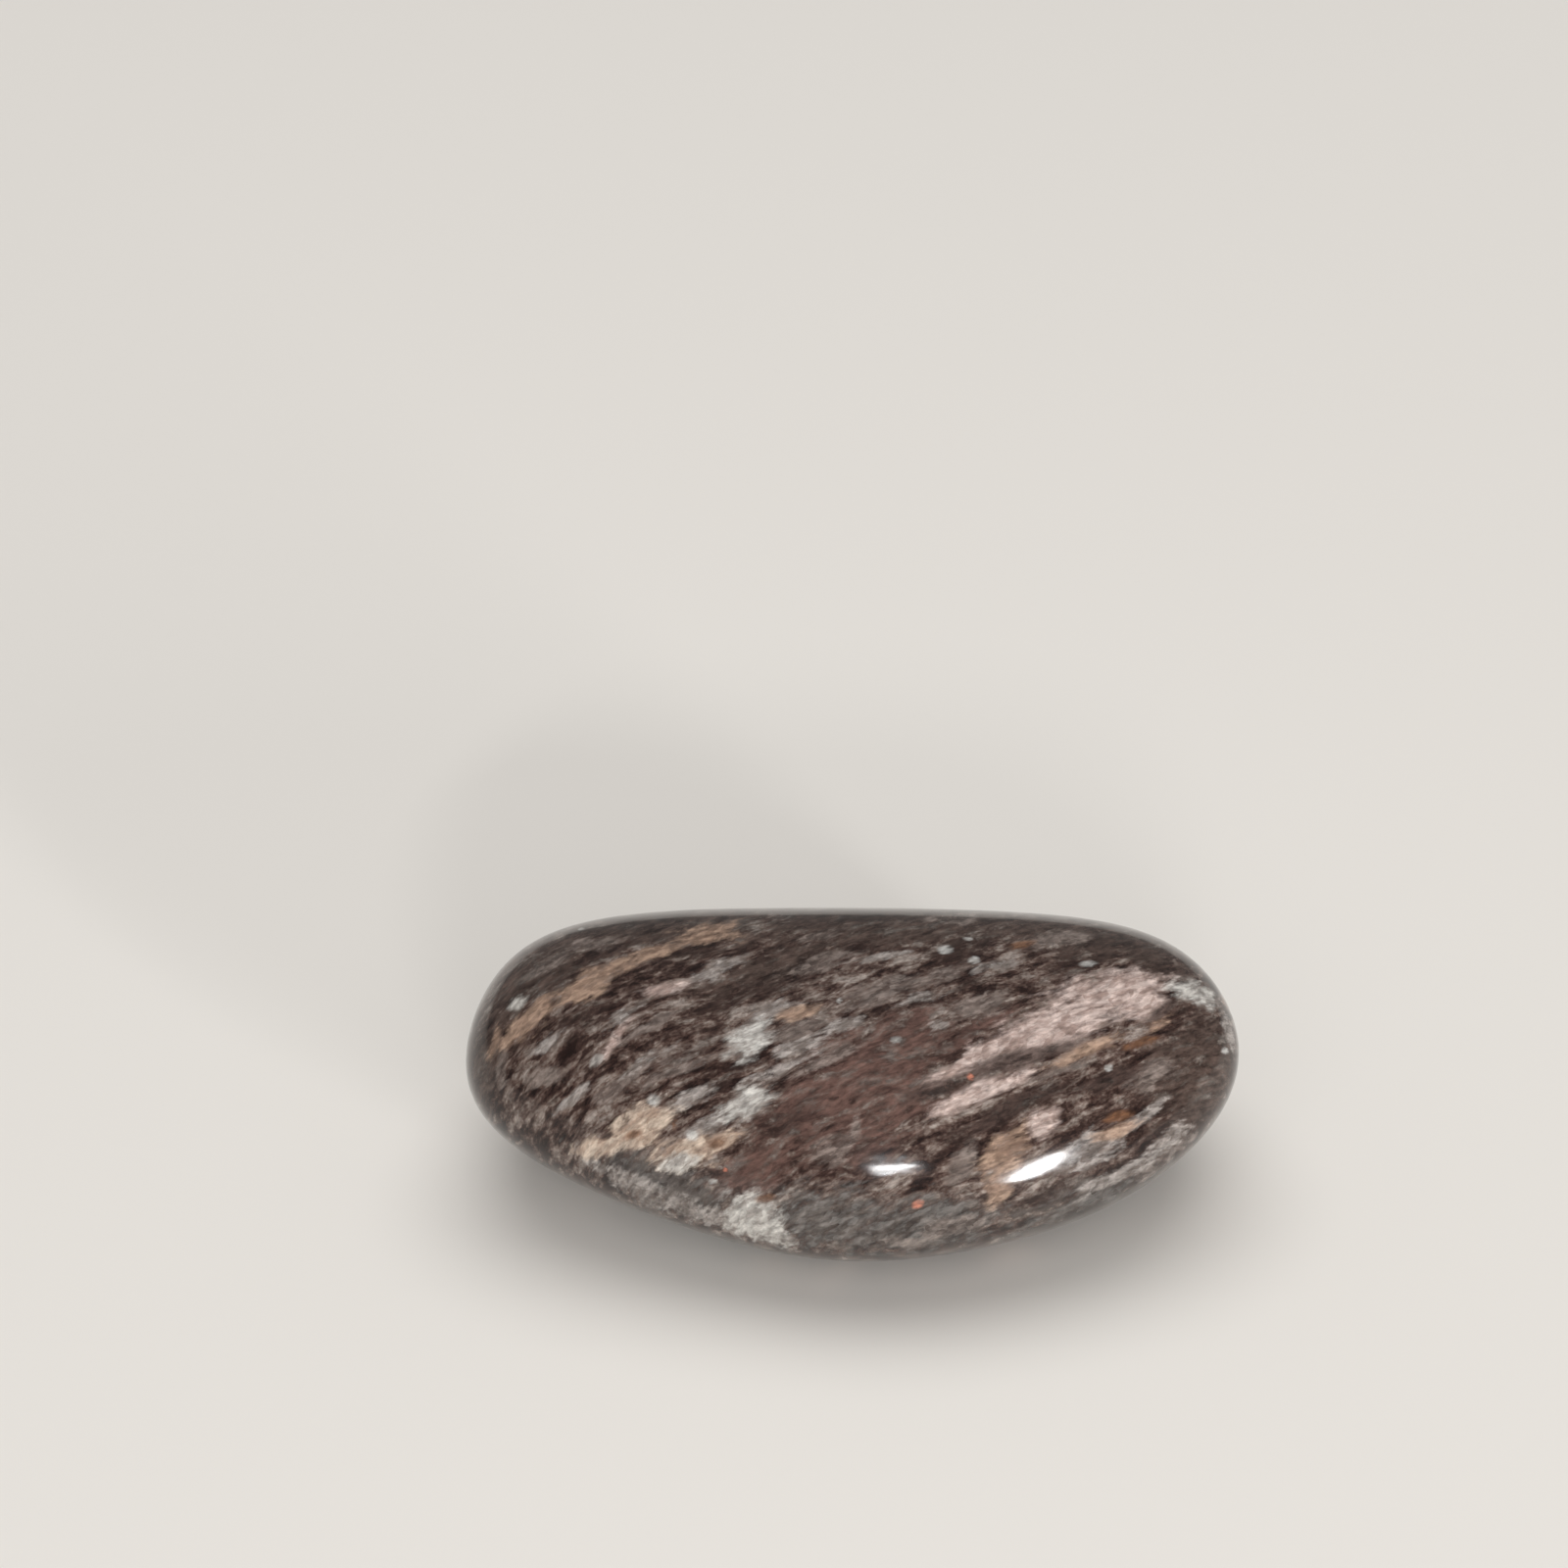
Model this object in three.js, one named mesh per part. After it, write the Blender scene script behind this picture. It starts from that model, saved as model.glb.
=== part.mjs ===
// A tumbled and polished granite pebble, lying on its broad worn underside.
// Millimetres, +Z up. The origin is on the surface the pebble rests on, under the middle of its outline.
// +X runs along the pebble's length, -Y is its rounded front, and +Y its straighter back.

import * as THREE from "three";
import { mergeVertices } from "three/addons/utils/BufferGeometryUtils.js";

// Overall sizes of the finished stone.
const LENGTH = 40;
const BREADTH = 22.8;
const THICKNESS = 15.4;

// The lowest part of the underside is worn to a small true flat, this far up the round.
const REST_WEAR = 0.25;

// The egg-shaped blank that the worn faces cut into: half its length, breadth and thickness.
const BLANK = new THREE.Vector3(23.0, 13.2, 9.5);

// The broken faces of the rough stone, which tumbling wore round but left readable.
// heading: the way the face looks in plan, in degrees from +X towards +Y.
// tilt: degrees that it looks above the horizon. reach: its distance from the middle of the stone.
const WORN_FACES = [
  { name: "crown", heading: -90, tilt: 82, reach: 7.5 },
  { name: "back top", heading: 90, tilt: 54, reach: 8.2 },
  { name: "back", heading: 90, tilt: 10, reach: 10.6 },
  { name: "under back", heading: 90, tilt: -45, reach: 10.2 },
  { name: "front left", heading: -108, tilt: 26, reach: 11.4 },
  { name: "front right", heading: -70, tilt: 38, reach: 11.2 },
  { name: "under front left", heading: -122, tilt: -46, reach: 11.6 },
  { name: "under front right", heading: -70, tilt: -48, reach: 12.0 },
  { name: "under right nose", heading: -30, tilt: -38, reach: 16.0 },
  { name: "right nose", heading: 15, tilt: 10, reach: 21.2 },
  { name: "back right", heading: 56, tilt: 28, reach: 17.6 },
  { name: "left nose", heading: 174, tilt: 8, reach: 21.0 },
  { name: "back left", heading: 132, tilt: 28, reach: 18.4 },
  { name: "under left nose", heading: -155, tilt: -40, reach: 18.8 },
  { name: "base", heading: 0, tilt: -90, reach: 8.5 },
];

// How crisp the edges between the worn faces stay: 2 is a plain egg, a large number a sharp block.
const EDGE_CRISPNESS = 8;

// Each side of an icosahedron is cut into this many steps, plus one, for 20 * (steps + 1)^2 triangles.
const SURFACE_STEPS = 15;

// Outward unit normal of a worn face.
function faceNormal({ heading, tilt }) {
  const polar = THREE.MathUtils.degToRad(90 - tilt);
  const azimuth = THREE.MathUtils.degToRad(heading);
  return new THREE.Vector3(
    Math.sin(polar) * Math.cos(azimuth),
    Math.sin(polar) * Math.sin(azimuth),
    Math.cos(polar),
  );
}

const faces = WORN_FACES.map((face) => ({ normal: faceNormal(face), reach: face.reach }));

// Distance from the middle of the stone to its surface, along a unit direction.
// The blank and every face that looks that way each limit it, and the power sum rounds where they meet.
function surfaceReach(direction) {
  let sum = direction.clone().divide(BLANK).length() ** EDGE_CRISPNESS;
  for (const { normal, reach } of faces) {
    const share = direction.dot(normal) / reach;
    if (share > 0) sum += share ** EDGE_CRISPNESS;
  }
  return sum ** (-1 / EDGE_CRISPNESS);
}

// The closed pebble surface about the middle of the stone. The directions crowd towards the noses as
// the stone is long and thin, so that its triangles stay even.
function roundedStone() {
  const sphere = new THREE.IcosahedronGeometry(1, SURFACE_STEPS);
  sphere.deleteAttribute("normal");
  sphere.deleteAttribute("uv");
  const surface = mergeVertices(sphere);
  const stretch = new THREE.Vector3(LENGTH, BREADTH, THICKNESS);
  const points = surface.getAttribute("position");
  const direction = new THREE.Vector3();
  for (let i = 0; i < points.count; i++) {
    direction.fromBufferAttribute(points, i).multiply(stretch).normalize();
    direction.multiplyScalar(surfaceReach(direction));
    points.setXYZ(i, direction.x, direction.y, direction.z);
  }
  return surface;
}

// Brings the surface to the overall sizes, wears the resting flat and puts the origin under the outline.
function setToSize(surface) {
  surface.computeBoundingBox();
  const raw = surface.boundingBox.getSize(new THREE.Vector3());
  surface.scale(LENGTH / raw.x, BREADTH / raw.y, (THICKNESS + REST_WEAR) / raw.z);
  surface.computeBoundingBox();
  const { min, max } = surface.boundingBox;
  const flat = min.z + REST_WEAR;
  const points = surface.getAttribute("position");
  const point = new THREE.Vector3();
  for (let i = 0; i < points.count; i++) {
    point.fromBufferAttribute(points, i);
    if (point.z < flat) point.multiplyScalar(flat / point.z).setZ(flat);
    points.setXYZ(i, point.x, point.y, point.z);
  }
  surface.translate(-(min.x + max.x) / 2, -(min.y + max.y) / 2, -flat);
  surface.computeVertexNormals();
  return surface;
}

// Dark grey-brown granite, streaked pink, under a high polish.
const polishedGranite = new THREE.MeshStandardMaterial({
  name: "polished granite",
  color: 0x6e625d,
  roughness: 0.12,
  metalness: 0,
});

const stone = new THREE.Mesh(setToSize(roundedStone()), polishedGranite);
stone.name = "stone";

const pebble = new THREE.Group();
pebble.name = "polished granite pebble";
pebble.add(stone);

export default pebble;
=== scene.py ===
# A tumbled and polished pebble of streaked granite, lying on a pale floor under soft light.
# Metres, +Z up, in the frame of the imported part: the floor is at zero, under the middle of the pebble.

import math
import random

import bmesh
import bpy
import numpy as np
from mathutils import Matrix, Vector, noise
from mathutils.bvhtree import BVHTree


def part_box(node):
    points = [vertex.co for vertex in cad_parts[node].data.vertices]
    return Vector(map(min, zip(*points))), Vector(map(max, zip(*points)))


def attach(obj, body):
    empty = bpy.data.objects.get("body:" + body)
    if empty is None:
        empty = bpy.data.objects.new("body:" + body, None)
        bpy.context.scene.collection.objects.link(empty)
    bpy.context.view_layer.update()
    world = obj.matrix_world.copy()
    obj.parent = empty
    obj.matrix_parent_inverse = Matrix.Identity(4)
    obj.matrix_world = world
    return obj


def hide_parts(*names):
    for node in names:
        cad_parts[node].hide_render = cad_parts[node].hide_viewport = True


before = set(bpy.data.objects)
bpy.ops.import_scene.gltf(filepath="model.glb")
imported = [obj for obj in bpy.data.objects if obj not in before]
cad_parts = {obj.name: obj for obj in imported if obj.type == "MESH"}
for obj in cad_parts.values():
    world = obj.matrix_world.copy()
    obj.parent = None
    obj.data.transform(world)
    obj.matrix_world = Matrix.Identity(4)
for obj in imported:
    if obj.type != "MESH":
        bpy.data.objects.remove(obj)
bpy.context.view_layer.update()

# The camera
# The view looks along +Y and down on the pebble, from about arm's length through a long lens.
# The pebble lies low and right of the middle of the square picture.
MM = 0.001
VIEW_HEIGHT = math.radians(36)
VIEW_DISTANCE = 450 * MM
SENSOR_WIDTH = 36
PICTURE_PIXELS = 1600
PEBBLE_PIXELS = 790
PEBBLE_SEEN_AT = (871, 1099)

lowest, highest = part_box("stone")
pebble_middle = (lowest + highest) / 2
pixel_size = (highest.x - lowest.x) / PEBBLE_PIXELS
picture_middle = PICTURE_PIXELS / 2
to_camera = Vector((0, -math.cos(VIEW_HEIGHT), math.sin(VIEW_HEIGHT)))
picture_right = Vector((1, 0, 0))
picture_up = to_camera.cross(picture_right)

optics = bpy.data.cameras.new("view")
optics.sensor_width = SENSOR_WIDTH
optics.lens = SENSOR_WIDTH * VIEW_DISTANCE / (PICTURE_PIXELS * pixel_size)
camera = bpy.data.objects.new("view", optics)
scene = bpy.context.scene
scene.collection.objects.link(camera)
scene.camera = camera
aim = pebble_middle - picture_right * (PEBBLE_SEEN_AT[0] - picture_middle) * pixel_size
aim += picture_up * (PEBBLE_SEEN_AT[1] - picture_middle) * pixel_size
camera.location = pebble_middle + to_camera * VIEW_DISTANCE
camera.rotation_euler = (aim - camera.location).to_track_quat("-Z", "Y").to_euler()


# The pebble
# One natural lump of layered granite: dark mica with lenses of pink, tan and white feldspar and quartz.
# It was broken, tumbled round and polished all over, which wore shallow waves into its faces.
SAME_POINT = 0.001 * MM
ROUNDING_LEVELS = 2
RESTING_HEIGHT = 0.3 * MM
# Width and depth of the waves, in millimetres.
WAVES = ((7.0, 0.060), (2.4, 0.010))


def smooth_copy(source, name):
    """A finely divided, rounded copy of a faceted solid."""
    mesh = source.data.copy()
    shape = bmesh.new()
    shape.from_mesh(mesh)
    bmesh.ops.remove_doubles(shape, verts=shape.verts, dist=SAME_POINT)
    shape.to_mesh(mesh)
    shape.free()
    piece = bpy.data.objects.new(name, mesh)
    scene.collection.objects.link(piece)
    rounding = piece.modifiers.new("rounding", "SUBSURF")
    rounding.levels = ROUNDING_LEVELS
    rounding.render_levels = ROUNDING_LEVELS
    rounded = piece.evaluated_get(bpy.context.evaluated_depsgraph_get())
    piece.data = bpy.data.meshes.new_from_object(rounded)
    piece.modifiers.clear()
    return piece


pebble = smooth_copy(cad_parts["stone"], "polished_stone")

# The waves only wear the stone inwards, and leave the part that it rests on.
surface = [(vertex.co.copy(), vertex.normal.copy()) for vertex in pebble.data.vertices]
worn = []
for point, outward in surface:
    wear = 0
    for width, depth in WAVES:
        wear += depth * (0.5 + 0.5 * noise.noise(point / (width * MM)))
    worn.extend(point - outward * wear * MM if point.z > RESTING_HEIGHT else point)
pebble.data.vertices.foreach_set("co", worn)
pebble.data.shade_smooth()

# The grain of the rock: the way its layers face, and the line that they make on the side in view.
LAYERS_FACE = Vector((-0.42, 0.66, 0.62)).normalized()
grain_depth = (-to_camera - LAYERS_FACE * LAYERS_FACE.dot(-to_camera)).normalized()
grain_along = grain_depth.cross(LAYERS_FACE)
grain_frame = Matrix((grain_along, grain_depth, LAYERS_FACE))

# The value that noise from 0 to 1 has on average.
NOISE_MIDDLE = 0.5


class Rock:
    """An output socket of the rock's material. Arithmetic on values adds Math nodes."""

    def __init__(self, tree, socket=None):
        self.tree = tree
        self.socket = socket

    def node(self, kind, sockets=None, output=0, stops=None, **settings):
        """A node of this kind: first its settings, then its sockets, by value or by link."""
        made = self.tree.nodes.new(kind)
        for name, value in settings.items():
            setattr(made, name, value)
        if stops:
            ramp = made.color_ramp
            while len(ramp.elements) < len(stops):
                ramp.elements.new(1)
            for element, (place, shade) in zip(ramp.elements, stops):
                element.position = place
                element.color = shade
        for place, value in (sockets or {}).items():
            if isinstance(value, Rock):
                self.tree.links.new(value.socket, made.inputs[place])
            else:
                made.inputs[place].default_value = value
        return Rock(self.tree, made.outputs[output])

    def maths(self, operation, first, second):
        return self.node("ShaderNodeMath", {0: first, 1: second}, operation=operation)

    def vectors(self, operation, first, second):
        return self.node("ShaderNodeVectorMath", {0: first, 1: second}, operation=operation)

    def mix(self, share, first, second, blend="MIX"):
        """first, giving way to second by this share."""
        return self.node("ShaderNodeMix", {0: share, 6: first, 7: second}, output=2,
                         data_type="RGBA", blend_type=blend)

    def span(self, value, start, end, low=0, high=1, kind="LINEAR"):
        """low where value is at start, high where it is at end, and in between from one to the other."""
        return self.node("ShaderNodeMapRange", {0: value, 1: start, 2: end, 3: low, 4: high},
                         interpolation_type=kind)

    def clouds(self, place, size, detail, roughness=0.55, output=0):
        """Cloudy noise from 0 to 1 whose clouds have this size along, into and across the layers."""
        stretched = self.node("ShaderNodeMapping", {"Vector": place, "Scale": [1 / s for s in size]})
        return self.node("ShaderNodeTexNoise", {"Vector": stretched, "Scale": 1, "Detail": detail,
                                                "Roughness": roughness}, output=output)

    def streaks(self, place, size, detail, roughness=0.55):
        """Cloudy noise of this size, above zero in one half of the rock and below it in the other."""
        return self.clouds(place, size, detail, roughness) - NOISE_MIDDLE

    def __add__(self, other):
        return self.maths("ADD", self, other)

    def __sub__(self, other):
        return self.maths("SUBTRACT", self, other)

    def __mul__(self, other):
        return self.maths("MULTIPLY", self, other)

    def __rsub__(self, other):
        return self.maths("SUBTRACT", other, self)

    __radd__ = __add__
    __rmul__ = __mul__


def colour(red, green, blue):
    """A colour as the eye reads it, from 0 to 255, as the shader's linear light."""
    linear = []
    for part in (red, green, blue):
        share = part / 255
        linear.append(share / 12.92 if share <= 0.04045 else ((share + 0.055) / 1.055) ** 2.4)
    return (*linear, 1)


granite = bpy.data.materials.new("polished granite")
granite.use_nodes = True
shader = granite.node_tree.nodes["Principled BSDF"]
rock = Rock(granite.node_tree)

# Places in the rock, in millimetres along, into and across its layers. The layers steepen towards the
# left nose, swing in broad folds and ripple finely.
STEEPER_FROM = 4
STEEPER_BY = 0.018
FOLD_SIZE, FOLD_REACH = (9, 9, 7), (1.5, 1.5, 2.4)
RIPPLE_SIZE, RIPPLE_REACH = (2.0, 2.0, 1.0), (0.6, 0.6, 0.34)

own_place = rock.node("ShaderNodeTexCoord", output="Object")
flat_layers = rock.node("ShaderNodeMapping", {"Vector": own_place, "Rotation": grain_frame.to_euler(),
                                              "Scale": [1 / MM] * 3})
along_layers = rock.node("ShaderNodeSeparateXYZ", {0: flat_layers})
past_bend = rock.maths("MAXIMUM", -STEEPER_FROM - along_layers, 0)
bend = rock.node("ShaderNodeCombineXYZ", {2: past_bend * past_bend * STEEPER_BY})
in_grain = rock.vectors("ADD", flat_layers, bend)


def swing(size, reach):
    """How far the layers swing aside at each place: clouds of this size, moved by this reach in all."""
    clouds = rock.clouds(in_grain, size, detail=3, output="Color")
    return rock.vectors("MULTIPLY", rock.vectors("SUBTRACT", clouds, (NOISE_MIDDLE,) * 3), reach)


rippled = rock.vectors("ADD", in_grain, swing(RIPPLE_SIZE, RIPPLE_REACH))
folded = rock.vectors("ADD", rippled, swing(FOLD_SIZE, FOLD_REACH))

# The body of the rock: dark mica, streaked by paler layers and broken into small crystals.
# Sizes are in millimetres along, into and across the layers. Weights say how much each lightens the body.
BROAD_SIZE, BROAD_WEIGHT = (6, 5, 2.0), 0.55
FINE_SIZE, FINE_WEIGHT = (1.5, 1.4, 0.46), 1.35
CRYSTAL_SIZE, CRYSTAL_WEIGHT = (0.5, 0.5, 0.24), 0.14
SPECK_SIZE, SPECK_WEIGHT = (0.22, 0.22, 0.14), 0.4
MIDDLE_TONE = 0.48

broad = rock.streaks(folded, BROAD_SIZE, detail=3)
fine = rock.streaks(folded, FINE_SIZE, detail=3)
specks = rock.streaks(rippled, SPECK_SIZE, detail=2)
crystal_place = rock.node("ShaderNodeMapping", {"Vector": folded, "Scale": [1 / s for s in CRYSTAL_SIZE]})
crystals = rock.node("ShaderNodeTexVoronoi", {"Vector": crystal_place, "Scale": 1}, output="Color")
crystal = rock.node("ShaderNodeSeparateColor", {0: crystals}) - NOISE_MIDDLE

tone = MIDDLE_TONE + broad * BROAD_WEIGHT + fine * FINE_WEIGHT
tone += crystal * CRYSTAL_WEIGHT + specks * SPECK_WEIGHT
body = rock.node("ShaderNodeValToRGB", {0: tone}, stops=(
    (0.22, colour(34, 20, 17)),
    (0.38, colour(60, 43, 38)),
    (0.50, colour(90, 72, 65)),
    (0.62, colour(122, 107, 99)),
    (0.80, colour(164, 152, 144)),
))

# Each mineral that stands out, some with lenses of painted shade, painted reflections and painted glints:
# how fully it covers the body, how far its edges fray, its darkest and palest colour, and its lenses. A
# lens is given by where its middle is seen, in pixels across and down the picture, the slope at which it
# rises to the right, in degrees, and its length and width in millimetres.
MINERALS_AND_PAINTED_LIGHT = (
    dict(
        name="red-brown mica",
        cover=0.6,
        fray=1,
        shades=(colour(62, 44, 40), colour(128, 98, 89)),
        lenses=(
            dict(across=900, down=1085, slope=25, length=9.0, width=5.0),
            dict(across=830, down=1130, slope=28, length=6.0, width=3.4),
            dict(across=985, down=1055, slope=26, length=6.5, width=1.1),
            dict(across=764, down=1198, slope=25, length=4.2, width=2.6),
            dict(across=870, down=1160, slope=20, length=6.0, width=3.0),
            dict(across=925, down=1120, slope=24, length=5.0, width=2.6),
        ),
    ),
    dict(
        name="dark mica and painted top shade",
        cover=0.62,
        fray=1,
        shades=(colour(24, 15, 12), colour(108, 91, 83)),
        lenses=(
            # The first five lenses are painted shade along the top edge and at the right end; the rest are
            # dark mica.
            dict(across=700, down=945, slope=6, length=13.0, width=2.4),
            dict(across=900, down=940, slope=0, length=16.0, width=2.6),
            dict(across=1120, down=955, slope=-8, length=11.0, width=2.2),
            dict(across=545, down=1000, slope=40, length=7.0, width=3.0),
            dict(across=1240, down=1080, slope=-75, length=6.0, width=3.0),
            dict(across=1215, down=1060, slope=25, length=5.0, width=2.4),
            dict(across=490, down=1090, slope=85, length=5.0, width=2.4),
            dict(across=800, down=985, slope=18, length=9.0, width=1.6),
            dict(across=1215, down=1110, slope=30, length=6.0, width=4.6),
            dict(across=1185, down=985, slope=-20, length=5.0, width=1.2),
        ),
    ),
    dict(
        name="grey mica and painted front reflection",
        cover=0.68,
        fray=1,
        shades=(colour(44, 41, 39), colour(136, 132, 128)),
        lenses=(
            # These lenses along the lower front edge are grey mica with a painted pale, cool reflection of
            # the front light and floor in their colour.
            dict(across=1120, down=1230, slope=24, length=10.0, width=3.0),
            dict(across=930, down=1250, slope=6, length=10.0, width=3.0),
            dict(across=680, down=1210, slope=-22, length=8.0, width=2.4),
            dict(across=850, down=1245, slope=-5, length=6.0, width=3.4),
        ),
    ),
    dict(
        name="black mica",
        cover=0.45,
        fray=1,
        shades=(colour(34, 24, 22), colour(66, 51, 46)),
        lenses=(
            dict(across=595, down=990, slope=30, length=6.0, width=0.9),
            dict(across=706, down=977, slope=8, length=4.6, width=0.7),
            dict(across=798, down=1004, slope=24, length=3.6, width=0.9),
            dict(across=985, down=966, slope=10, length=4.2, width=1.5),
            dict(across=985, down=1003, slope=24, length=3.6, width=0.4),
            dict(across=1103, down=981, slope=12, length=3.4, width=1.2),
            dict(across=629, down=1188, slope=-5, length=2.0, width=0.7),
            dict(across=1080, down=1216, slope=25, length=5.6, width=1.1),
            dict(across=802, down=1147, slope=24, length=3.0, width=1.2),
            dict(across=978, down=1157, slope=10, length=1.4, width=1.0),
            dict(across=598, down=1038, slope=25, length=3.2, width=1.6),
            dict(across=740, down=1022, slope=27, length=4.4, width=1.1),
            dict(across=700, down=1075, slope=30, length=4.2, width=1.0),
            dict(across=735, down=1105, slope=30, length=4.0, width=0.8),
            dict(across=640, down=945, slope=8, length=5.6, width=0.9),
            dict(across=860, down=935, slope=2, length=8.0, width=0.9),
            dict(across=1130, down=960, slope=-8, length=5.0, width=0.8),
            dict(across=1073, down=1114, slope=18, length=3.4, width=1.2),
            dict(across=690, down=1205, slope=-20, length=3.0, width=1.0),
        ),
    ),
    dict(
        name="grey quartz",
        cover=0.75,
        fray=1,
        shades=(colour(86, 74, 69), colour(156, 142, 134)),
        lenses=(
            dict(across=564, down=983, slope=25, length=2.6, width=0.8),
            dict(across=605, down=966, slope=12, length=3.2, width=0.6),
            dict(across=838, down=982, slope=16, length=4.2, width=0.8),
            dict(across=840, down=956, slope=20, length=2.4, width=0.6),
            dict(across=848, down=1080, slope=29, length=3.8, width=0.7),
            dict(across=820, down=1052, slope=25, length=3.0, width=1.3),
            dict(across=967, down=992, slope=20, length=2.6, width=0.8),
            dict(across=975, down=938, slope=4, length=3.0, width=0.6),
            dict(across=1075, down=958, slope=10, length=4.2, width=0.7),
            dict(across=900, down=1012, slope=18, length=4.6, width=0.9),
            dict(across=1002, down=1026, slope=16, length=3.0, width=1.2),
            dict(across=1180, down=1096, slope=18, length=3.0, width=1.1),
            dict(across=848, down=1174, slope=35, length=2.2, width=1.4),
            dict(across=871, down=1154, slope=78, length=1.8, width=0.5),
            dict(across=640, down=1105, slope=30, length=4.0, width=0.7),
            dict(across=560, down=1100, slope=20, length=2.4, width=0.9),
            dict(across=660, down=1050, slope=32, length=3.4, width=0.6),
            dict(across=690, down=1095, slope=28, length=3.6, width=0.6),
            dict(across=1180, down=1189, slope=25, length=2.6, width=0.7),
            dict(across=1211, down=1162, slope=45, length=1.6, width=0.7),
            dict(across=985, down=1190, slope=60, length=3.0, width=1.2),
            dict(across=972, down=1249, slope=14, length=3.6, width=0.8),
            dict(across=923, down=1269, slope=5, length=3.0, width=0.6),
            dict(across=516, down=1090, slope=84, length=1.8, width=0.5),
            dict(across=1085, down=1088, slope=20, length=3.4, width=0.8),
            dict(across=780, down=1105, slope=26, length=3.2, width=0.7),
        ),
    ),
    dict(
        name="pale quartz and painted rim reflection",
        cover=0.85,
        fray=1,
        shades=(colour(118, 108, 102), colour(186, 177, 171)),
        lenses=(
            # Most of these are pale quartz. The lens beside the right-hand highlight at 1112 across, the
            # three along the lower-left edge at 648, 700 and 735 across, and the one on the right-end rim
            # at 1254 across are painted reflections.
            dict(across=722, down=1149, slope=32, length=3.4, width=0.8),
            dict(across=792, down=1029, slope=15, length=2.8, width=0.8),
            dict(across=738, down=986, slope=23, length=3.4, width=0.7),
            dict(across=1112, down=1174, slope=28, length=3.6, width=1.7),
            dict(across=1166, down=1136, slope=33, length=2.8, width=0.8),
            dict(across=700, down=1232, slope=-24, length=3.2, width=1.1),
            dict(across=648, down=1208, slope=-22, length=5.0, width=1.0),
            dict(across=735, down=1243, slope=-22, length=2.4, width=1.0),
            dict(across=1195, down=1160, slope=40, length=2.4, width=0.9),
            dict(across=1145, down=1195, slope=28, length=4.6, width=0.8),
            dict(across=640, down=1035, slope=35, length=2.6, width=0.5),
            dict(across=812, down=1068, slope=25, length=2.8, width=0.8),
            dict(across=560, down=1065, slope=40, length=2.6, width=0.5),
            dict(across=585, down=1120, slope=35, length=2.6, width=0.5),
            dict(across=660, down=1085, slope=35, length=3.0, width=0.5),
            dict(across=900, down=975, slope=12, length=3.0, width=0.5),
            dict(across=1020, down=985, slope=15, length=2.6, width=0.5),
            dict(across=1254, down=1046, slope=-80, length=2.6, width=0.7),
            dict(across=956, down=1042, slope=35, length=1.0, width=0.6),
            dict(across=705, down=1120, slope=28, length=3.0, width=0.7),
            dict(across=860, down=1045, slope=22, length=3.0, width=0.6),
            dict(across=800, down=1090, slope=26, length=3.4, width=0.6),
            dict(across=940, down=1018, slope=18, length=3.2, width=0.6),
        ),
    ),
    dict(
        name="tan feldspar",
        cover=0.8,
        fray=1,
        shades=(colour(144, 117, 100), colour(192, 162, 140)),
        lenses=(
            dict(across=603, down=1004, slope=27, length=5.2, width=1.2),
            dict(across=558, down=1028, slope=35, length=1.5, width=1.1),
            dict(across=538, down=1048, slope=42, length=3.2, width=1.3),
            dict(across=505, down=1068, slope=70, length=1.8, width=0.6),
            dict(across=721, down=953, slope=13, length=3.2, width=1.1),
            dict(across=668, down=973, slope=15, length=2.2, width=0.9),
            dict(across=1104, down=1072, slope=22, length=4.6, width=0.9),
            dict(across=1178, down=1040, slope=28, length=1.8, width=0.6),
            dict(across=1030, down=1172, slope=38, length=3.2, width=1.8),
            dict(across=1022, down=1208, slope=60, length=2.6, width=1.2),
            dict(across=738, down=1163, slope=12, length=2.0, width=0.9),
            dict(across=815, down=1034, slope=18, length=2.0, width=0.8),
            dict(across=1140, down=1150, slope=25, length=3.0, width=0.7),
        ),
    ),
    dict(
        name="pink feldspar",
        cover=0.9,
        fray=0.65,
        shades=(colour(164, 141, 132), colour(226, 205, 196)),
        lenses=(
            dict(across=1082, down=1043, slope=25, length=10.6, width=2.3),
            dict(across=1136, down=1008, slope=9, length=7.0, width=1.8),
            dict(across=985, down=1083, slope=30, length=4.6, width=0.9),
            dict(across=1005, down=1112, slope=24, length=6.2, width=1.1),
            dict(across=1165, down=1020, slope=20, length=3.0, width=1.6),
            dict(across=679, down=1010, slope=18, length=2.4, width=0.6),
            dict(across=628, down=1062, slope=50, length=3.6, width=0.55),
            dict(across=1064, down=1147, slope=40, length=2.0, width=1.2),
        ),
    ),
    dict(
        name="cream feldspar",
        cover=0.9,
        fray=1,
        shades=(colour(172, 147, 129), colour(222, 202, 183)),
        lenses=(
            dict(across=652, down=1148, slope=28, length=4.0, width=1.7),
            dict(across=615, down=1168, slope=10, length=2.8, width=1.2),
            dict(across=650, down=1166, slope=8, length=2.8, width=1.0),
            dict(across=700, down=1180, slope=8, length=3.4, width=1.7),
            dict(across=728, down=1166, slope=14, length=3.0, width=1.2),
        ),
    ),
    dict(
        name="white quartz",
        cover=0.9,
        fray=0.75,
        shades=(colour(164, 158, 152), colour(224, 220, 213)),
        lenses=(
            dict(across=765, down=1061, slope=38, length=2.7, width=1.6),
            dict(across=765, down=1128, slope=22, length=3.2, width=1.5),
            dict(across=768, down=1246, slope=40, length=3.2, width=2.8),
            dict(across=785, down=1258, slope=-25, length=2.8, width=1.6),
            dict(across=530, down=1023, slope=35, length=1.1, width=0.8),
            dict(across=1218, down=1010, slope=-14, length=3.0, width=1.1),
            dict(across=697, down=1188, slope=10, length=2.2, width=1.1),
            dict(across=610, down=1082, slope=50, length=1.0, width=0.5),
        ),
    ),
    dict(
        name="dark seam",
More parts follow.
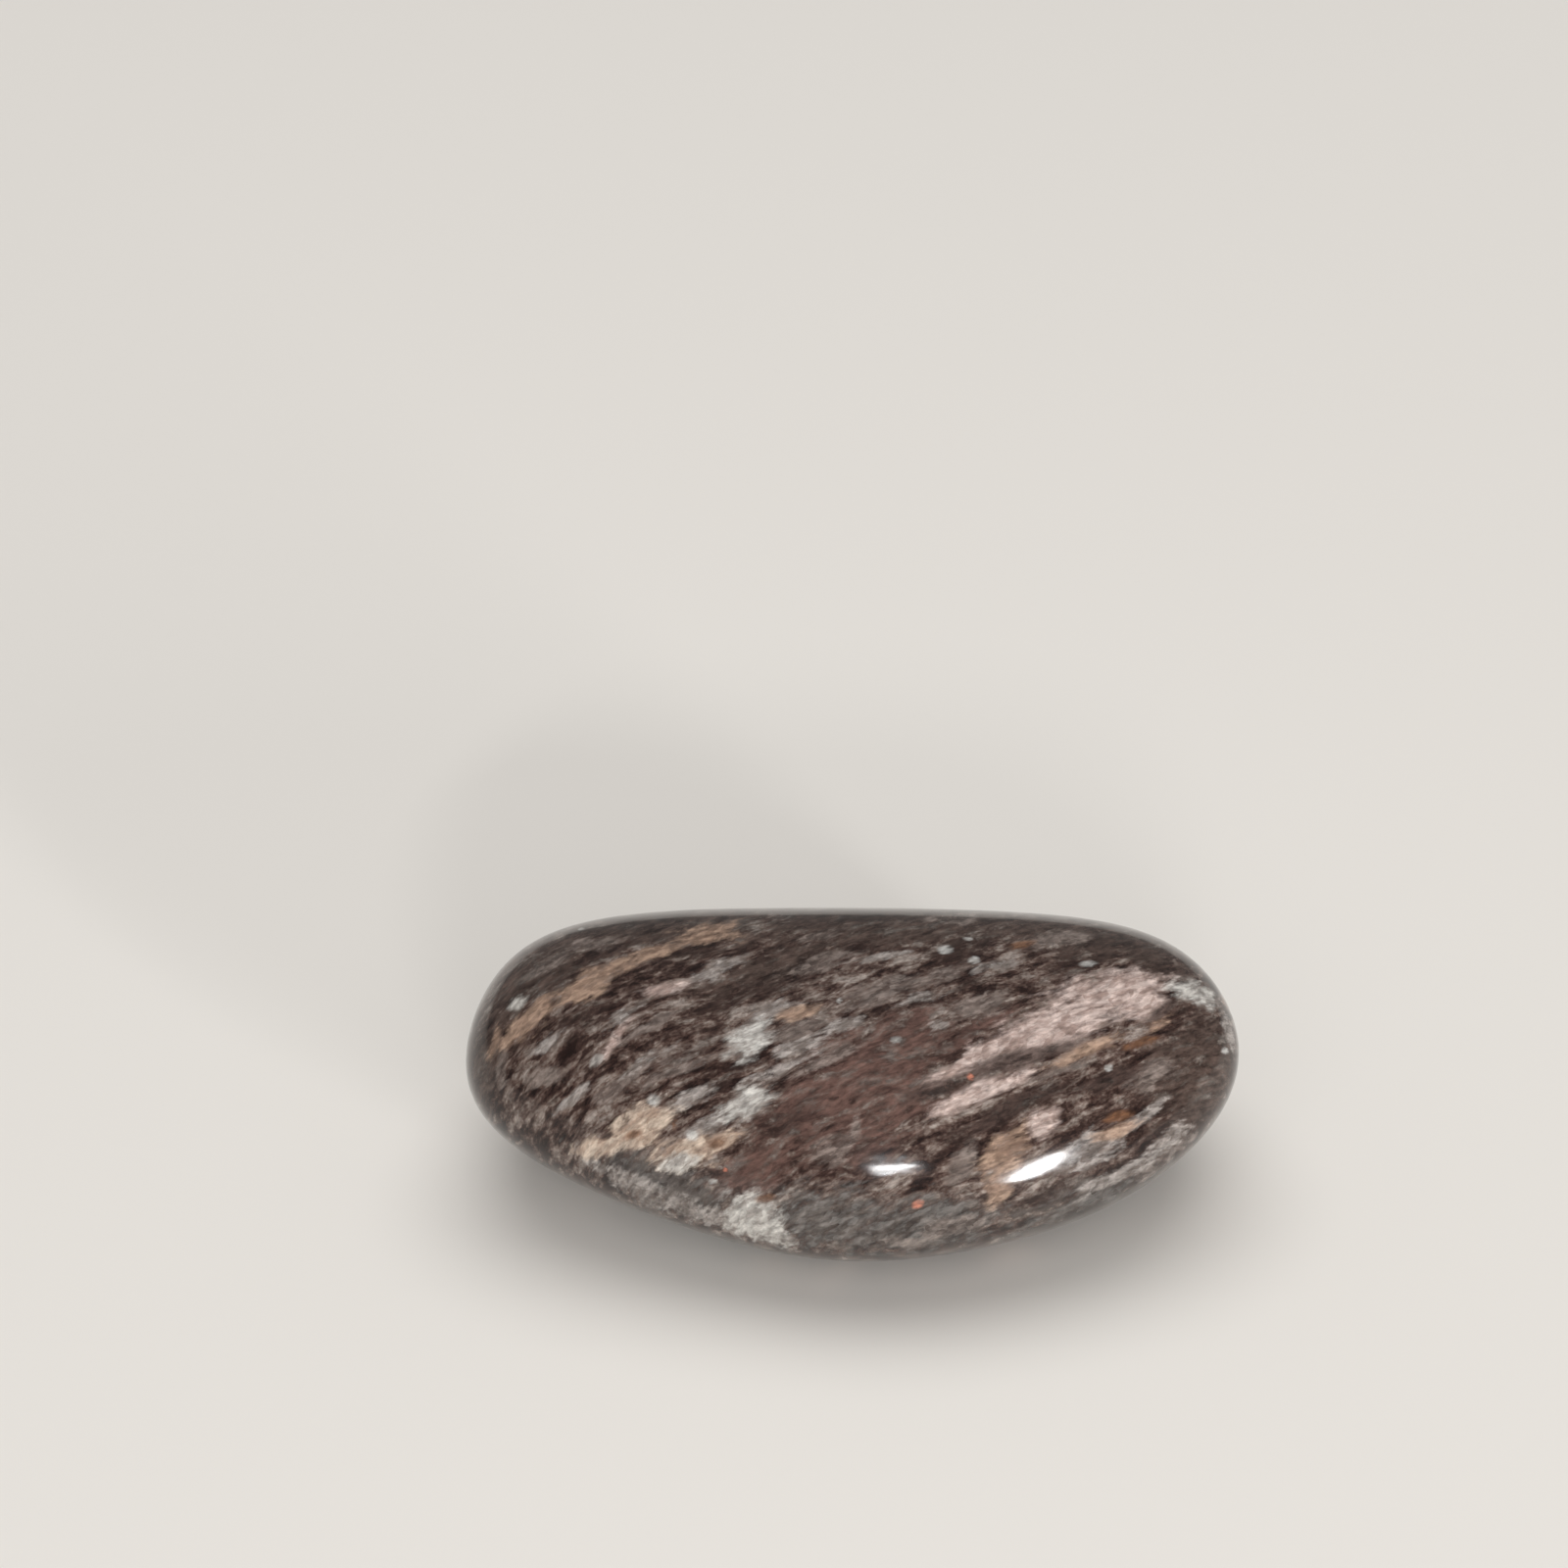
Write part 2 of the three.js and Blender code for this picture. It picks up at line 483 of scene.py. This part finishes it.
        cover=0.85,
        fray=0.8,
        shades=(colour(38, 29, 27), colour(86, 69, 63)),
        lenses=(
            dict(across=1045, down=1077, slope=18, length=6.4, width=0.9),
            dict(across=958, down=1110, slope=24, length=4.6, width=0.9),
            dict(across=1035, down=1131, slope=25, length=5.2, width=1.1),
            dict(across=1184, down=1027, slope=25, length=2.2, width=0.5),
            dict(across=1135, down=1100, slope=20, length=3.6, width=0.8),
        ),
    ),
    dict(
        name="rust",
        cover=0.75,
        fray=0.4,
        shades=(colour(96, 64, 46), colour(146, 104, 76)),
        lenses=(
            dict(across=645, down=1161, slope=20, length=1.0, width=0.6),
            dict(across=733, down=1164, slope=30, length=1.1, width=0.6),
            dict(across=690, down=1148, slope=80, length=0.8, width=0.4),
            dict(across=1166, down=1061, slope=20, length=2.0, width=0.6),
            dict(across=1142, down=1134, slope=20, length=1.6, width=0.5),
            dict(across=784, down=1223, slope=20, length=1.2, width=0.5),
            dict(across=1045, down=962, slope=10, length=1.6, width=0.4),
        ),
    ),
    dict(
        name="coral grain",
        cover=0.85,
        fray=0.2,
        shades=(colour(184, 112, 93), colour(226, 148, 120)),
        lenses=(
            dict(across=940, down=1225, slope=-5, length=0.65, width=0.45),
            dict(across=992, down=1096, slope=-30, length=0.5, width=0.35),
            dict(across=741, down=1196, slope=0, length=0.35, width=0.3),
        ),
    ),
    dict(
        name="bright grain and painted glint",
        cover=0.75,
        fray=0.35,
        shades=(colour(176, 173, 168), colour(226, 224, 220)),
        lenses=(
            # These white dots are pale mineral specks and painted glints: tiny sparkles of light off
            # crystal faces, drawn as colour.
            dict(across=964, down=967, slope=-5, length=0.8, width=0.35),
            dict(across=990, down=958, slope=-5, length=0.7, width=0.3),
            dict(across=995, down=981, slope=-5, length=0.7, width=0.4),
            dict(across=1111, down=982, slope=0, length=0.8, width=0.4),
            dict(across=917, down=1061, slope=0, length=0.6, width=0.4),
            dict(across=857, down=1020, slope=20, length=0.4, width=0.3),
            dict(across=597, down=949, slope=0, length=0.4, width=0.4),
            dict(across=669, down=1123, slope=15, length=0.7, width=0.5),
            dict(across=711, down=1159, slope=0, length=0.7, width=0.6),
            dict(across=729, down=1209, slope=0, length=0.5, width=0.3),
            dict(across=1135, down=1087, slope=0, length=0.4, width=0.4),
            dict(across=1249, down=1072, slope=0, length=0.5, width=0.4),
        ),
    ),
)

# A lens is this many times as deep as it is long, where its length counts as no less than the shallowest,
# in millimetres. Its shape is bent by noise of the bend size and reach.
LENS_DEPTH = 1.6
SHALLOWEST_LENS = 1.5
LENS_BEND_SIZE, LENS_BEND_REACH, LENS_BEND_SEED = 2.2, 0.35, 3
# The far side is where the surface looks away from the camera by more than this.
FAR_SIDE_FACING = -0.05
FAR_SIDE_SEED = 7
# The distance from the middle of a lens is 1 at its edge. Around there it frays and fades, and a point that
# is out of reach shows nothing of it.
FRAY_SIZE, FRAY_WEIGHT, FRAY_SPECKS = (1.3, 1.2, 0.40), 2.5, 0.4
EDGE_FULL, EDGE_GONE = 0.5, 1.3
OUT_OF_REACH = 4.0
# What mottles the inside of a lens, and where that gives its darkest and palest colour.
MOTTLE_FRAYED, MOTTLE_FINE, MOTTLE_GRAINS = 0.6, 0.4, 0.16
DARKEST_MOTTLE, PALEST_MOTTLE = 0.1, -0.12

points = np.array(worn).reshape(-1, 3)
normals = np.array([outward for _, outward in surface])
noise.seed_set(LENS_BEND_SEED)
bends = [noise.noise_vector(Vector(point) / (LENS_BEND_SIZE * MM)) for point in points]
bent_points = points + np.array(bends) * LENS_BEND_REACH * MM
pebble_faces = BVHTree.FromObject(pebble, bpy.context.evaluated_depsgraph_get())
far_points = np.flatnonzero(normals @ np.array(to_camera) < FAR_SIDE_FACING)
chance = random.Random(FAR_SIDE_SEED)


def seen_lens(across, down, slope):
    """Where a lens in view has its middle, and the ways it runs along and into the rock."""
    aside = picture_right * (across - PEBBLE_SEEN_AT[0]) - picture_up * (down - PEBBLE_SEEN_AT[1])
    sight = pebble_middle + aside * pixel_size - camera.location
    middle = pebble_faces.ray_cast(camera.location, sight.normalized())[0]
    turn = math.radians(slope)
    return middle, picture_right * math.cos(turn) + picture_up * math.sin(turn), -to_camera


def far_lens():
    """A lens at a chance place on the side away from the view, lying in the layers of the rock."""
    place = chance.choice(far_points)
    inward = Vector(-normals[place])
    return Vector(points[place]), inward.cross(LAYERS_FACE).normalized(), inward


def lens_distance(lens_place, length, width):
    """How far each point of the pebble is from the middle of a lens: 1 at the edge of the lens."""
    middle, along, inward = lens_place
    offset = bent_points - np.array(middle)
    sizes = (length, max(length, SHALLOWEST_LENS) * LENS_DEPTH, width)
    ways = (along, inward, along.cross(inward))
    shares = [2 * offset @ np.array(way) / (size * MM) for way, size in zip(ways, sizes)]
    return np.sqrt(sum(share * share for share in shares))


frayed = rock.streaks(rippled, FRAY_SIZE, detail=4, roughness=0.6)
ragged = frayed * FRAY_WEIGHT + specks * FRAY_SPECKS
mottle = frayed * MOTTLE_FRAYED + fine * MOTTLE_FINE + (crystal + specks) * MOTTLE_GRAINS
shade = rock.span(mottle, DARKEST_MOTTLE, PALEST_MOTTLE)

# The far side gets a lens of the same size for each one in view.
for marking in MINERALS_AND_PAINTED_LIGHT:
    nearest = np.full(len(points), OUT_OF_REACH)
    for lens in marking["lenses"]:
        for lens_place in (seen_lens(lens["across"], lens["down"], lens["slope"]), far_lens()):
            nearest = np.minimum(nearest, lens_distance(lens_place, lens["length"], lens["width"]))
    edge = pebble.data.attributes.new(marking["name"], "FLOAT", "POINT")
    edge.data.foreach_set("value", nearest)
    distance = rock.node("ShaderNodeAttribute", output="Fac", attribute_name=marking["name"])
    inside = rock.span(distance + ragged * marking["fray"], EDGE_FULL, EDGE_GONE, 1, 0, "SMOOTHSTEP")
    body = rock.mix(inside * marking["cover"], body, rock.mix(shade, *marking["shades"]))

# Hair-fine streaks run through every mineral alike, and the polish is a little duller on dark mica.
HAIR_SIZE, HAIR_WEIGHT = (0.6, 0.55, 0.2), 1.5
HAIR_MIDDLE = 0.80
DARK_TONE, PALE_TONE = 0.3, 0.7
DULL_POLISH, BRIGHT_POLISH = 0.13, 0.07
DIMPLE_SIZE, DIMPLE_DEPTH, DIMPLE_STRENGTH = (0.8, 0.8, 0.5), 0.01 * MM, 0.2
MIRROR_LEVEL = 0.4

hairs = HAIR_MIDDLE + rock.streaks(rippled, HAIR_SIZE, detail=3, roughness=0.6) * HAIR_WEIGHT
dimples = rock.clouds(in_grain, DIMPLE_SIZE, detail=1)
finish = {
    "Base Color": rock.mix(1, body, hairs, "MULTIPLY"),
    "Roughness": rock.span(tone, DARK_TONE, PALE_TONE, DULL_POLISH, BRIGHT_POLISH),
    "Normal": rock.node("ShaderNodeBump", {"Height": dimples, "Strength": DIMPLE_STRENGTH,
                                           "Distance": DIMPLE_DEPTH}),
}
for name, look in finish.items():
    granite.node_tree.links.new(look.socket, shader.inputs[name])
shader.inputs["Specular IOR Level"].default_value = MIRROR_LEVEL
pebble.data.materials.clear()
pebble.data.materials.append(granite)

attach(pebble, "root")
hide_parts("stone")


# The floor
# A plain pale sheet of matt paper that the pebble lies on.
# It is wide enough to fill every view.
FLOOR_HALF = 1.5
PAPER_COLOUR = colour(236, 232, 226)
PAPER_ROUGHNESS = 0.9
floor_mesh = bpy.data.meshes.new("floor")
corners = [(-FLOOR_HALF, -FLOOR_HALF, 0), (FLOOR_HALF, -FLOOR_HALF, 0),
           (FLOOR_HALF, FLOOR_HALF, 0), (-FLOOR_HALF, FLOOR_HALF, 0)]
floor_mesh.from_pydata(corners, [], [(0, 1, 2, 3)])
floor = bpy.data.objects.new("floor", floor_mesh)
scene.collection.objects.link(floor)
paper = bpy.data.materials.new("pale floor")
paper.use_nodes = True
paper_shader = paper.node_tree.nodes["Principled BSDF"]
paper_shader.inputs["Base Color"].default_value = PAPER_COLOUR
paper_shader.inputs["Roughness"].default_value = PAPER_ROUGHNESS
floor_mesh.materials.append(paper)


# The light
# A broad soft light overhead and a weaker one in front, which the polish doesn't mirror, and two small
# windows that it does.
LIGHT_DISTANCE = 0.8
ROOM_COLOUR = (1.0, 0.98, 0.96, 1)
ROOM_STRENGTH = 0.22


def softbox(name, heading, height, size, power, roll=0, mirrored=True):
    """An oval light facing the pebble from a heading and height, rolled in its own plane, in degrees."""
    lamp = bpy.data.lights.new(name, "AREA")
    lamp.shape = "ELLIPSE"
    lamp.size, lamp.size_y = size
    lamp.energy = power
    holder = bpy.data.objects.new(name, lamp)
    scene.collection.objects.link(holder)
    turn, rise = math.radians(heading), math.radians(height)
    away = Vector((math.cos(rise) * math.cos(turn), math.cos(rise) * math.sin(turn), math.sin(rise)))
    facing = (-away).to_track_quat("-Z", "Y").to_matrix() @ Matrix.Rotation(math.radians(roll), 3, "Z")
    holder.location = pebble_middle + away * LIGHT_DISTANCE
    holder.rotation_euler = facing.to_euler()
    holder.visible_glossy = mirrored


softbox("overhead", heading=90, height=84, size=(0.9, 0.9), power=3.7, mirrored=False)
softbox("front", heading=-90, height=40, size=(0.8, 0.5), power=1.6, mirrored=False)
softbox("low window", heading=-84, height=20, size=(0.19, 0.035), power=1.3, roll=20)
softbox("side window", heading=-54, height=11, size=(0.075, 0.22), power=2.4, roll=-24)

room = bpy.data.worlds.new("room")
room.use_nodes = True
room_light = room.node_tree.nodes["Background"]
room_light.inputs["Color"].default_value = ROOM_COLOUR
room_light.inputs["Strength"].default_value = ROOM_STRENGTH
scene.world = room
scene.view_settings.view_transform = "Standard"
